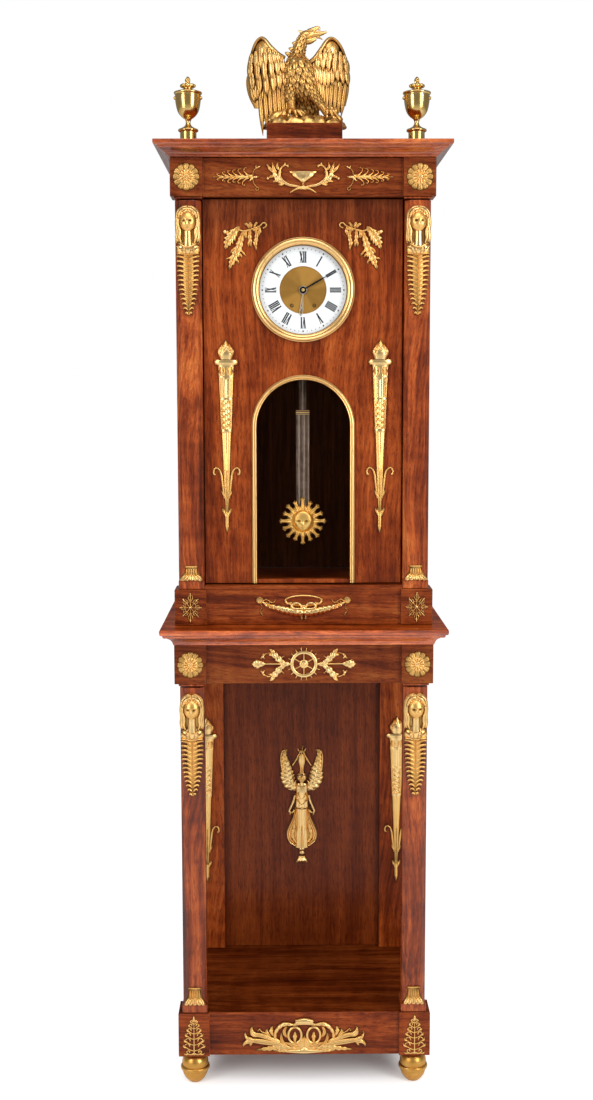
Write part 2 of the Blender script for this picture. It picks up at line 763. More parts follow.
def make_mouldings():
    height = LEDGE_HEIGHT - 2 * GAP
    levels = moulding_levels(
        LEDGE_SHARES, STAND_FRONT, STAND_FRIEZE_TOP + GAP, height, LEDGE_FRONT_OVERHANG, LEDGE_SIDE_OVERHANG
    )
    keep("stand_top", levels_mesh(levels), WOOD)
    height = CORNICE_HEIGHT - 2 * GAP
    levels = moulding_levels(
        CORNICE_SHARES, CASE_FRONT, CASE_FRIEZE_TOP + GAP, height, CORNICE_OVERHANG, CORNICE_OVERHANG
    )
    keep("cornice", levels_mesh(levels), WOOD)


# Column foot mount: share of its height and share of its flare
FOOT_MOUNT_SHARES = ((0.0, 1.0), (0.22, 1.0), (0.5, 0.35), (0.92, 0.0), (1.0, 0.0))


def make_column(name, x, front, width, rises, mount_height, mount_width):
    """A square column with cut corners, its die, its neck and the flared mount at its foot."""
    bottom, shaft_low, shaft_high, top = rises
    half = width / 2
    middle = front + COLUMN_SETBACK + half
    neck_rise = (top - shaft_high) / 2
    cut = COLUMN_CHAMFER
    reach = half + NECK_PROJECTION
    steps = (
        (DIE_WIDTH / 2, bottom + GAP, DIE_CUT),
        (DIE_WIDTH / 2, shaft_low, DIE_CUT),
        (half - SEAM, shaft_low, cut),
        (half - SEAM, shaft_high, cut),
        (reach, shaft_high + neck_rise, DIE_CUT),
        (reach, top - GAP, DIE_CUT),
    )
    levels = [(x - r, x + r, middle - r, middle + r, z, c) for r, z, c in steps]
    column = keep(name, levels_mesh(levels), WOOD)
    levels = []
    narrow = FOOT_MOUNT_TOP_WIDTH / 2
    for up, out in FOOT_MOUNT_SHARES:
        grow = narrow + out * (mount_width / 2 - narrow)
        forward = middle - half - FOOT_MOUNT_RELIEF * (1 + out) / 2
        levels.append((x - grow, x + grow, forward, middle, shaft_low - SEAM + up * mount_height))
    boolean(column, tool(name + "_mount", levels_mesh(levels)), "UNION")
    return column


def make_columns():
    lower = (BASE_TOP, LOWER_SHAFT_BOTTOM, LOWER_SHAFT_TOP, STAND_FRIEZE_BOTTOM)
    upper = (CASE_PLINTH_TOP, UPPER_SHAFT_BOTTOM, UPPER_SHAFT_TOP, CASE_FRIEZE_BOTTOM)
    for side, sign in (("left", -1), ("right", 1)):
        x = sign * COLUMN_X
        sizes = (LOWER_COLUMN_WIDTH, lower, LOWER_FOOT_MOUNT_HEIGHT, LOWER_FOOT_MOUNT_WIDTH)
        make_column(f"lower_column_{side}", x, STAND_FRONT, *sizes)
        sizes = (UPPER_COLUMN_WIDTH, upper, UPPER_FOOT_MOUNT_HEIGHT, UPPER_FOOT_MOUNT_WIDTH)
        make_column(f"upper_column_{side}", x, CASE_FRONT, *sizes)


def make_backs():
    inner = HALF_BODY - REAR_STILE_WIDTH
    bottom = BASE_TOP + GAP
    top = STAND_FRIEZE_BOTTOM - GAP
    for side, sign in (("left", -1), ("right", 1)):
        x_low = min(sign * inner, sign * HALF_BODY)
        x_high = max(sign * inner, sign * HALF_BODY)
        keep(f"rear_stile_{side}", box_mesh((x_low, REAR_STILE_FRONT, bottom), (x_high, REAR, top)), WOOD)
    low = (-inner + GAP, BACK_PANEL_FRONT, bottom)
    high = (inner - GAP, BACK_PANEL_FRONT + BACK_PANEL_THICKNESS, top)
    keep("stand_back_panel", box_mesh(low, high), WOOD)

    outer = HALF_BODY - SIDE_SETBACK
    column_back = CASE_FRONT + COLUMN_SETBACK + UPPER_COLUMN_WIDTH + NECK_PROJECTION + GAP
    bottom = CASE_PLINTH_TOP + GAP
    top = CASE_FRIEZE_BOTTOM - GAP
    for side, sign in (("left", -1), ("right", 1)):
        wall = outer - SIDE_THICKNESS
        x_low = min(sign * wall, sign * outer)
        x_high = max(sign * wall, sign * outer)
        keep(f"case_side_{side}", box_mesh((x_low, column_back, bottom), (x_high, REAR, top)), WOOD)
    inside = outer - SIDE_THICKNESS - GAP
    low = (-inside, REAR - CASE_BACK_THICKNESS, bottom)
    keep("case_back", box_mesh(low, (inside, REAR, top)), DARK_WOOD)
    low = (-inside, BACK_PLATE_REAR - SEAT_DEPTH, SEAT_TOP - SEAT_THICKNESS)
    keep("seat_board", box_mesh(low, (inside, BACK_PLATE_REAR, SEAT_TOP)), DARK_WOOD)


def arch_points(half_width, bottom, spring, sides=SMALL_SIDES):
    """The outline of a round-headed opening, from its bottom left corner."""
    points = [(-half_width, bottom), (half_width, bottom)]
    for i in range(sides + 1):
        angle = math.pi * i / sides
        points.append((half_width * math.cos(angle), spring + half_width * math.sin(angle)))
    return points


def make_door():
    half_arch = ARCH_WIDTH / 2
    arch_bottom = DOOR_BOTTOM + ARCH_BOTTOM_RAIL
    chamfer = DOOR_CORNER_CHAMFER
    low, high = DOOR_BOTTOM, DOOR_TOP
    edge = [(-DOOR_HALF, low), (DOOR_HALF, low), (DOOR_HALF, high), (-DOOR_HALF, high)]
    hole = circle_points(DIAL_HOLE_RADIUS, RING_SIDES, (0, DIAL_HEIGHT))
    opening = arch_points(half_arch, arch_bottom, ARCH_SPRING_HEIGHT, RING_SIDES // 2)
    mesh = outline_mesh([edge, opening, hole], DOOR_THICKNESS)
    mesh.transform(Matrix.Translation((-HINGE_X, DOOR_BACK - HINGE_Y, 0)))
    door = keep("door", mesh, WOOD, (HINGE_X, HINGE_Y, 0))
    bores = bmesh.new()
    radius = PIVOT_RADIUS + PIVOT_CLEARANCE
    depth = PIVOT_LENGTH
    for z in (DOOR_BOTTOM, DOOR_TOP):
        profile = [(0, z + depth), (radius, z + depth), (radius, z - depth), (0, z - depth)]
        add_mesh(bores, turned_mesh(profile, SMALL_SIDES))
    boolean(door, tool("door_bores", mesh_from(bores), (HINGE_X, HINGE_Y, 0)), "DIFFERENCE")
    corner = bmesh.new()
    add_box(corner, (-chamfer, -chamfer, DOOR_BOTTOM - OVERRUN), (chamfer, chamfer, DOOR_TOP + OVERRUN))
    turn = Matrix.Rotation(math.radians(45), 3, "Z")
    bmesh.ops.rotate(corner, verts=corner.verts, cent=(0, 0, 0), matrix=turn)
    shift = chamfer * (math.sqrt(2) - 1) / 2
    place = (DOOR_HALF + shift, DOOR_FRONT - shift, 0)
    boolean(door, tool("door_corner", mesh_from(corner), place), "DIFFERENCE")

    grow = GLASS_OVERLAP
    pane_bottom = arch_bottom - ARCH_BOTTOM_RAIL / 2
    pane = arch_points(half_arch + grow, pane_bottom, ARCH_SPRING_HEIGHT, RING_SIDES // 3)
    pane_rear = DOOR_BACK + GAP + GLASS_THICKNESS
    keep("door_glass", outline_mesh([pane], GLASS_THICKNESS), GLASS, (0, pane_rear, 0))

    outer = half_arch + TRIM_WIDTH
    trim_bottom = DOOR_BOTTOM
    outer_points = arch_points(outer, trim_bottom, ARCH_SPRING_HEIGHT, RING_SIDES // 2)[1:]
    outer_points.append((-outer, trim_bottom))
    inner_half = half_arch - GAP
    inner_points = arch_points(inner_half, trim_bottom, ARCH_SPRING_HEIGHT, RING_SIDES // 2)[1:]
    inner_points.append((-inner_half, trim_bottom))
    trim = keep(
        "arch_trim",
        outline_mesh([outer_points + inner_points[::-1]], TRIM_THICKNESS),
        GILT,
        (0, DOOR_FRONT - GAP, 0),
    )
    bevel = trim.modifiers.new("rounding", "BEVEL")
    bevel.width = TRIM_THICKNESS / 3
    bevel.segments = 1
    bevel.limit_method = "ANGLE"
    bevel.angle_limit = math.radians(50)


BEZEL_SHARES = (
    (0.0, 0.55),
    (0.36, 0.72),
    (0.62, 1.0),
    (1.0, 0.45),
    (1.0, 0.0),
)


def make_bezel():
    span = BEZEL_RADIUS - BEZEL_INNER_RADIUS
    seat = BEZEL_HEIGHT * 0.55 - BEZEL_LIP
    profile = [(BEZEL_INNER_RADIUS + r * span, h * BEZEL_HEIGHT) for r, h in BEZEL_SHARES]
    rebate = BEZEL_INNER_RADIUS + span / 3
    profile += [(rebate, 0), (rebate, seat), (BEZEL_INNER_RADIUS, seat)]
    place = (0, DOOR_FRONT - GAP, DIAL_HEIGHT)
    facing = (math.radians(90), 0, 0)
    smooth(keep("dial_bezel", turned_mesh(profile, RING_SIDES, True), GILT, place, facing))
    top = seat - GAP
    low = top - BEZEL_GLASS_THICKNESS
    radius = rebate - GAP
    pane = turned_mesh([(0, top), (radius, top), (radius, low), (0, low)], RING_SIDES)
    keep("bezel_glass", pane, GLASS, place, facing)


def winding_places():
    """The two winding arbors, seen from the front, as X and height."""
    return [(sign * WINDING_SPREAD, DIAL_HEIGHT - WINDING_DROP) for sign in (-1, 1)]


def rod_between(x, z, front, back, radius, sides=SMALL_SIDES):
    """A round rod that runs from front to back."""
    length = back - front
    mesh = turned_mesh([(0, length), (radius, length), (radius, 0), (0, 0)], sides)
    mesh.transform(Matrix.Translation((x, back, z)) @ Matrix.Rotation(math.radians(90), 4, "X"))
    return mesh


def make_dial():
    face = [
        (DIAL_HOLE, DIAL_THICKNESS - DIAL_CENTRE_SINK),
        (DIAL_CENTRE_RADIUS, DIAL_THICKNESS - DIAL_CENTRE_SINK),
        (DIAL_CENTRE_RADIUS, DIAL_THICKNESS),
        (DIAL_RADIUS, DIAL_THICKNESS),
        (DIAL_RADIUS, 0),
        (DIAL_HOLE, 0),
    ]
    mesh = turned_mesh(face, RING_SIDES, True)
    mesh.transform(Matrix.Rotation(math.radians(90), 4, "X"))
    dial = keep("dial", mesh, ENAMEL, (0, DIAL_BACK, DIAL_HEIGHT))
    holes = bmesh.new()
    for x, z in winding_places():
        add_mesh(holes, rod_between(x, z, DIAL_FACE - OVERRUN, DIAL_BACK + OVERRUN, WINDING_HOLE_RADIUS))
    boolean(dial, tool("dial_holes", mesh_from(holes)), "DIFFERENCE")
    feet = bmesh.new()
    for x, z in circle_points(DIAL_FOOT_CIRCLE, 3, (0, DIAL_HEIGHT), 30.0):
        front = DIAL_BACK - DIAL_THICKNESS / 2
        add_mesh(feet, rod_between(x, z, front, FRONT_PLATE_FACE - GAP, DIAL_FOOT_RADIUS))
    boolean(dial, tool("dial_feet", mesh_from(feet)), "UNION")


def hand_outline(start, length, width, tail, shares):
    """A hand that points up, with its widths as shares along its length."""
    right = [(w * width / 2, start + s * (length - start)) for s, w in shares]
    left = [(-x, z) for x, z in right[::-1]]
    end = [(-width / 4, -tail), (width / 4, -tail)] if tail else []
    return right + left + end


HOUR_SHARES = ((0.0, 0.55), (0.30, 0.42), (0.52, 0.40), (0.66, 1.0), (0.80, 0.55), (1.0, 0.06))
MINUTE_SHARES = ((0.0, 0.60), (0.5, 0.50), (0.72, 0.44), (0.80, 0.9), (0.88, 0.40), (1.0, 0.08))


def make_hand(name, length, width, tail, shares, back, bore, pipe_back, angle):
    """A hand with its boss, and the pipe or arbor that carries it back through the dial."""
    start = HAND_BOSS_RADIUS - OVERRUN / 2 if bore else 0
    mesh = outline_mesh([hand_outline(start, length, width, tail, shares)], HAND_THICKNESS)
    hand = keep(name, mesh, BLUED, (0, back, DIAL_HEIGHT), (0, math.radians(angle), 0))
    boss = HAND_BOSS_RADIUS
    stem = PIPE_RADIUS if bore else ARBOR_RADIUS
    top = HAND_THICKNESS * 1.2
    low = back - pipe_back
    rear = -HAND_THICKNESS / 10
    profile = [(bore, top), (boss, top), (boss, rear), (stem, rear), (stem, low), (bore, low)]
    hub = turned_mesh(profile, 10, bool(bore))
    hub.transform(Matrix.Rotation(math.radians(90), 4, "X"))
    boolean(hand, tool(name + "_hub", hub, (0, back, DIAL_HEIGHT)), "UNION")
    return hand


def make_hands():
    bore = ARBOR_RADIUS + ARBOR_CLEARANCE
    make_hand(
        "hour_hand",
        HOUR_HAND_LENGTH,
        HOUR_HAND_WIDTH,
        0,
        HOUR_SHARES,
        HOUR_HAND_BACK,
        bore,
        FRONT_PLATE_FACE - GAP,
        HOUR_HAND_ANGLE,
    )
    make_hand(
        "minute_hand",
        MINUTE_HAND_LENGTH,
        MINUTE_HAND_WIDTH,
        HAND_TAIL_LENGTH,
        MINUTE_SHARES,
        MINUTE_HAND_BACK,
        0,
        BACK_PLATE_FACE - GAP,
        MINUTE_HAND_ANGLE,
    )


def plate_outline():
    """A round plate with a flat foot that stands on the seat board."""
    half = PLATE_FOOT_WIDTH / 2
    start = -math.asin(half / MOVEMENT_RADIUS)
    points = []
    for i in range(RING_SIDES // 2 + 1):
        angle = -math.pi / 2 - start + i * (math.tau + 2 * start) / (RING_SIDES // 2)
        points.append((MOVEMENT_RADIUS * math.cos(angle), MOVEMENT_RADIUS * math.sin(angle)))
    points.append((-half, -MOVEMENT_RADIUS))
    points.append((half, -MOVEMENT_RADIUS))
    return points


def make_plates():
    front_face = FRONT_PLATE_FACE
    front = keep(
        "movement_front_plate",
        outline_mesh([plate_outline()], PLATE_THICKNESS),
        BRASS,
        (0, front_face + PLATE_THICKNESS, DIAL_HEIGHT),
    )
    holes = bmesh.new()
    low, high = front_face - OVERRUN, front_face + PLATE_THICKNESS + OVERRUN
    for x, z in winding_places():
        add_mesh(holes, rod_between(x, z, low, high, WINDING_SQUARE))
    add_mesh(holes, rod_between(0, DIAL_HEIGHT, low, high, ARBOR_RADIUS + ARBOR_CLEARANCE))
    boolean(front, tool("front_plate_holes", mesh_from(holes)), "DIFFERENCE")

    back = keep(
        "movement_back_plate",
        outline_mesh([plate_outline()], PLATE_THICKNESS),
        BRASS,
        (0, BACK_PLATE_REAR, DIAL_HEIGHT),
    )
    pillars = bmesh.new()
    for angle in PILLAR_ANGLES:
        x = PILLAR_CIRCLE * math.cos(math.radians(angle))
        z = DIAL_HEIGHT + PILLAR_CIRCLE * math.sin(math.radians(angle))
        first = front_face + PLATE_THICKNESS + GAP
        add_mesh(pillars, rod_between(x, z, first, BACK_PLATE_REAR - PLATE_THICKNESS / 2, PILLAR_RADIUS, 8))
    boolean(back, tool("pillars", mesh_from(pillars)), "UNION")
    hole = bmesh.new()
    radius = ARBOR_RADIUS + ARBOR_CLEARANCE
    first, last = BACK_PLATE_FACE - OVERRUN, BACK_PLATE_REAR + OVERRUN
    add_mesh(hole, rod_between(0, PALLET_HEIGHT, first, last, radius))
    boolean(back, tool("back_plate_hole", mesh_from(hole)), "DIFFERENCE")
    cock = bmesh.new()
    half = COCK_WIDTH / 2
    cock_bottom = PALLET_HEIGHT + SPRING_LENGTH + GAP
    cock_top = cock_bottom + COCK_HEIGHT
    cock_reach = PENDULUM_Y + ROD_THICKNESS
    add_box(cock, (-half, BACK_PLATE_REAR - PLATE_THICKNESS / 2, cock_bottom), (half, cock_reach, cock_top))
    boolean(back, tool("suspension_cock", mesh_from(cock)), "UNION")
    stand = bmesh.new()
    stalk_y = (FRONT_PLATE_FACE + BACK_PLATE_REAR) / 2
    stalk = PILLAR_RADIUS
    pin_top = DIAL_HEIGHT + BELL_RISE - BELL_WALL - 2 * GAP
    stalk_top = pin_top - stalk
    seam = BACK_PLATE_REAR - SEAM
    add_box(stand, (-stalk, stalk_y - stalk, cock_bottom), (stalk, seam, cock_bottom + 2 * stalk))
    add_box(stand, (-stalk, stalk_y - stalk, cock_bottom), (stalk, stalk_y + stalk, stalk_top))
    pin_foot = stalk_top - stalk
    profile = [(0, pin_top), (ARBOR_RADIUS, pin_top), (ARBOR_RADIUS, pin_foot), (0, pin_foot)]
    add_mesh(stand, turned_mesh(profile, SMALL_SIDES), Matrix.Translation((0, stalk_y, 0)))
    boolean(back, tool("bell_stand", mesh_from(stand)), "UNION", True)


def toothed(radius, tooth, teeth):
    """The outline of a toothed wheel."""
    points = []
    for i in range(teeth):
        base = math.tau * i / teeth
        step = math.tau / teeth
        for share, reach in ((0.0, radius), (0.45, radius), (0.58, radius + tooth), (0.87, radius + tooth)):
            angle = base + share * step
            points.append((reach * math.cos(angle), reach * math.sin(angle)))
    return points


def make_train():
    inside_front = FRONT_PLATE_FACE + PLATE_THICKNESS
    for name, (x, z) in zip(("striking_barrel", "going_barrel"), winding_places()):
        wheel_back = BACK_PLATE_FACE - GAP
        wheel = outline_mesh([toothed(BARREL_RADIUS, BARREL_TOOTH, BARREL_TEETH)], 2 * WHEEL_THICKNESS)
        barrel = keep(name, wheel, BRASS, (x, wheel_back, z))
        start = wheel_back - inside_front - GAP
        drum = BARREL_RADIUS - BARREL_TOOTH / 2
        profile = [
            (0, start),
            (WINDING_SQUARE, start),
            (WINDING_SQUARE, BARREL_LENGTH),
            (drum, BARREL_LENGTH),
            (drum, WHEEL_THICKNESS),
            (0, WHEEL_THICKNESS),
        ]
        body = turned_mesh(profile)
        body.transform(Matrix.Rotation(math.radians(90), 4, "X"))
        boolean(barrel, tool(name + "_drum", body, (x, wheel_back, z)), "UNION")
        side = WINDING_SQUARE / 2
        inside = wheel_back - BARREL_LENGTH / 2
        square = box_mesh((x - side, DIAL_FACE, z - side), (x + side, inside, z + side))
        boolean(barrel, tool(name + "_square", square), "UNION")

    x, z = 0, DIAL_HEIGHT + ESCAPE_RISE
    wheel_back = BACK_PLATE_FACE - 2 * WHEEL_THICKNESS
    tooth = ESCAPE_RADIUS / 5
    outline = toothed(ESCAPE_RADIUS - tooth, tooth, ESCAPE_TEETH)
    wheel = keep("escape_wheel", outline_mesh([outline], WHEEL_THICKNESS), BRASS, (x, wheel_back, z))
    arbor = rod_between(x, z, inside_front + GAP, BACK_PLATE_FACE - GAP, ARBOR_RADIUS)
    boolean(wheel, tool("escape_arbor", arbor), "UNION")


def make_escapement():
    """The anchor, its arbor and the crutch that takes the beat to the pendulum."""
    span = ESCAPE_RADIUS * PALLET_SPAN_SHARE
    drop = PALLET_RISE - ESCAPE_RISE
    arm = CRUTCH_WIDTH
    tip = ESCAPE_RADIUS + arm
    reach = drop - ESCAPE_RADIUS * math.sqrt(1 - PALLET_SPAN_SHARE**2)
    points = [
        (0, arm),
        (span + arm, -reach / 2),
        (tip, -reach),
        (tip - arm / 2, -reach),
        (span - arm / 4, -reach / 2),
        (0, -arm),
    ]
    outline = points + mirrored(points[-2:0:-1])
    wheel_back = BACK_PLATE_FACE - 2 * WHEEL_THICKNESS
    shape = outline_mesh([outline], WHEEL_THICKNESS)
    anchor = keep("anchor_crutch", shape, STEEL, (0, wheel_back, PALLET_HEIGHT))
    crutch_front = BACK_PLATE_REAR + GAP
    inside_front = FRONT_PLATE_FACE + PLATE_THICKNESS + GAP
    arbor = rod_between(0, PALLET_HEIGHT, inside_front, crutch_front + WHEEL_THICKNESS, ARBOR_RADIUS)
    boolean(anchor, tool("pallet_arbor", arbor), "UNION")
    half = CRUTCH_WIDTH / 2
    crutch = bmesh.new()
    bottom = PALLET_HEIGHT - CRUTCH_LENGTH
    crutch_rear = crutch_front + WHEEL_THICKNESS
    add_box(crutch, (-half, crutch_front, bottom), (half, crutch_rear, PALLET_HEIGHT + half))
    slot = UPPER_ROD_WIDTH / 2 + 2 * GAP
    outer = slot + CRUTCH_FORK
    fork_back = PENDULUM_Y
    add_box(crutch, (-outer, crutch_front, bottom), (outer, crutch_rear, bottom + CRUTCH_WIDTH))
    for sign in (-1, 1):
        x_low, x_high = min(sign * slot, sign * outer), max(sign * slot, sign * outer)
        add_box(crutch, (x_low, crutch_front, bottom), (x_high, fork_back, bottom + CRUTCH_WIDTH))
    boolean(anchor, tool("crutch", mesh_from(crutch)), "UNION", True)


def make_strike():
    """The bell on its stand above the movement, and the hammer beside it."""
    y = (FRONT_PLATE_FACE + BACK_PLATE_REAR) / 2
    outer = []
    inner = []
    steps = 6
    for i in range(steps + 1):
        angle = math.pi / 2 * i / steps
        outer.append((BELL_RADIUS * math.sin(angle), BELL_RADIUS * math.cos(angle)))
        radius = BELL_RADIUS - BELL_WALL
        inner.append((radius * math.sin(angle), radius * math.cos(angle)))
    place = (0, y, DIAL_HEIGHT + BELL_RISE - BELL_RADIUS)
    smooth(keep("bell", turned_mesh(outer + inner[::-1], TURNING_SIDES), BRASS, place))
    foot_x = -(BELL_RADIUS + HAMMER_HEAD_RADIUS + BELL_WALL)
    foot_z = DIAL_HEIGHT + BELL_RISE - BELL_RADIUS - HAMMER_LENGTH
    head_z = HAMMER_LENGTH + HAMMER_HEAD_RADIUS / 2
    shape = bmesh.new()
    add_blob(shape, (0, 0, head_z), (HAMMER_HEAD_RADIUS,) * 3, 0, 0, 8)
    add_mesh(shape, tube_mesh([(0, 0, 0), (0, 0, head_z)], [ARBOR_RADIUS, ARBOR_RADIUS]))
    arbor = rod_between(0, 0, y_to_front(y), y_to_back(y), ARBOR_RADIUS)
    add_mesh(shape, arbor)
    hammer = keep("strike_hammer", mesh_from(shape), STEEL, (foot_x, y, foot_z))
    across = BELL_RADIUS
    clear = box_mesh((-across, -across, -across * 3), (across, across, -across * 2))
    boolean(hammer, tool("hammer_join", clear, (foot_x, y, foot_z)), "DIFFERENCE", True)


def y_to_front(y):
    """From a middle plane to the inner face of the front plate."""
    return FRONT_PLATE_FACE + PLATE_THICKNESS + GAP - y


def y_to_back(y):
    """From a middle plane to the inner face of the back plate."""
    return BACK_PLATE_FACE - GAP - y


def make_pendulum():
    top = PALLET_HEIGHT
    half_rod = ROD_THICKNESS / 2
    shape = bmesh.new()
    spring = SPRING_THICKNESS / 2
    wide = SPRING_WIDTH / 2
    add_box(shape, (-spring, -wide, -SPRING_LENGTH), (spring, wide, SPRING_LENGTH))
    upper = UPPER_ROD_WIDTH / 2
    collar_top = COLLAR_TOP_HEIGHT - top
    collar_bottom = collar_top - COLLAR_HEIGHT
    add_box(shape, (-upper, -half_rod, collar_top - OVERRUN), (upper, half_rod, -SPRING_LENGTH / 2))
    proud = half_rod + COLLAR_PROUD
    wide_half = COLLAR_WIDTH / 2
    add_box(shape, (-wide_half, -proud, collar_bottom), (wide_half, proud, collar_top))
    lower = LOWER_ROD_WIDTH / 2
    bob_top = BOB_HEIGHT - top
    add_box(shape, (-lower, -half_rod, bob_top), (lower, half_rod, collar_bottom + OVERRUN))
    rod = keep("pendulum_rod", mesh_from(shape), STEEL, (0, PENDULUM_Y, top))
    far = COLLAR_WIDTH
    away = box_mesh((-far, -far, far), (far, far, 2 * far))
    boolean(rod, tool("rod_join", away, (0, PENDULUM_Y, top)), "DIFFERENCE", True)

    points = []
    for i in range(2 * BOB_RAYS):
        radius = BOB_RAY_RADIUS if i % 2 == 0 else BOB_RAY_RADIUS * BOB_VALLEY_SHARE
        angle = math.pi * i / BOB_RAYS + math.pi / 2
        points.append((radius * math.sin(angle), radius * math.cos(angle) + bob_top))
    front = -half_rod - GAP
    rays = outline_mesh([points], BOB_THICKNESS / 2)
    bob = keep("sun_bob", rays, GILT, (0, PENDULUM_Y + front, top))
    face = bmesh.new()
    flat = BOB_THICKNESS / 2
    centre = (0, PENDULUM_Y + front - flat / 2, BOB_HEIGHT)
    add_blob(face, (0, 0, 0), (BOB_FACE_RADIUS, BOB_FACE_PROUD + flat / 2, BOB_FACE_RADIUS), 0, 0, 12)
    cutter = box_mesh(
        (-BOB_RAY_RADIUS, flat / 2 - SEAM, -BOB_RAY_RADIUS), (BOB_RAY_RADIUS, BOB_RAY_RADIUS, BOB_RAY_RADIUS)
    )
    disc = tool("bob_face", mesh_from(face), centre)
    boolean(disc, tool("bob_back", cutter, centre), "DIFFERENCE")
    boolean(bob, disc, "UNION")


# Urn section: share of the radius and share of the height, from the top down
URN_SHARES = (
    (0.0, 1.0),
    (0.14, 0.96),
    (0.10, 0.92),
    (0.50, 0.89),
    (0.50, 0.84),
    (0.34, 0.82),
    (0.98, 0.775),
    (1.0, 0.755),
    (0.93, 0.73),
    (0.88, 0.60),
    (0.68, 0.46),
    (0.38, 0.37),
    (0.21, 0.31),
    (0.72, 0.21),
    (0.60, 0.17),
    (0.66, 0.0),
    (0.0, 0.0),
)


def make_urns():
    for side, sign in (("left", -1), ("right", 1)):
        profile = [(r * URN_RADIUS, h * URN_HEIGHT) for r, h in URN_SHARES]
        place = (sign * (HALF_BODY - BLOCK_WIDTH / 2), CASE_FRONT + URN_SETBACK, CORNICE_TOP)
        urn = smooth(keep(f"urn_{side}", turned_mesh(profile), GILT, place))
        studs = bmesh.new()
        for end in (-1, 1):
            reach = end * (URN_RADIUS * 0.93 + URN_STUD_RADIUS / 2)
            add_blob(studs, (reach, 0, URN_HEIGHT * 0.69), (URN_STUD_RADIUS,) * 3)
        boolean(urn, tool(f"urn_studs_{side}", mesh_from(studs), place), "UNION")


# Eagle: shapes as shares of its width, depth and height, measured from the middle of its ground
EAGLE_BODY_SHARES = (
    ((-0.065, 0.42, 0.50), (0.145, 0.20, 0.20), -10, 12),
    ((-0.015, 0.38, 0.30), (0.12, 0.18, 0.20), -18, 10),
    ((-0.055, 0.47, 0.66), (0.085, 0.13, 0.14), 0, 0),
    ((-0.025, 0.47, 0.81), (0.062, 0.11, 0.13), -26, 0),
    ((0.040, 0.47, 0.905), (0.062, 0.085, 0.050), -60, 0),
    ((0.145, 0.47, 0.935), (0.095, 0.045, 0.022), 14, 0),
    ((0.070, 0.47, 0.960), (0.080, 0.040, 0.020), 28, 0),
    ((0.125, 0.47, 0.880), (0.075, 0.035, 0.014), -20, 0),
)
EAGLE_GROUND_SHARES = (
    ((0.0, 0.42, 0.02), (0.42, 0.40, 0.080), 0, 0),
    ((-0.22, 0.50, 0.04), (0.17, 0.28, 0.090), 12, 0),
    ((0.05, 0.36, 0.10), (0.16, 0.22, 0.10), 0, 0),
)
EAGLE_LEG_SHARES = (
    ((-0.115, 0.52, 0.22), (0.055, 0.09, 0.15), 4, 0),
    ((-0.07, 0.66, 0.085), (0.050, 0.16, 0.045), -18, 0),
    ((0.125, 0.52, 0.22), (0.055, 0.09, 0.18), -34, 0),
    ((0.22, 0.66, 0.085), (0.060, 0.15, 0.045), -20, 0),
)
# Wing feathers: foot, tip and width, as shares of the eagle's width and height
EAGLE_WING_SHARES = (
    ((-0.40, 0.88), (-0.53, 0.42), 0.16),
    ((-0.34, 0.82), (-0.40, 0.34), 0.17),
    ((-0.24, 0.74), (-0.22, 0.34), 0.17),
    ((-0.44, 0.62), (-0.42, 0.01), 0.10),
    ((-0.36, 0.60), (-0.34, 0.04), 0.10),
    ((-0.28, 0.56), (-0.26, 0.08), 0.10),
)
EAGLE_FEATHER_RELIEF = 0.060


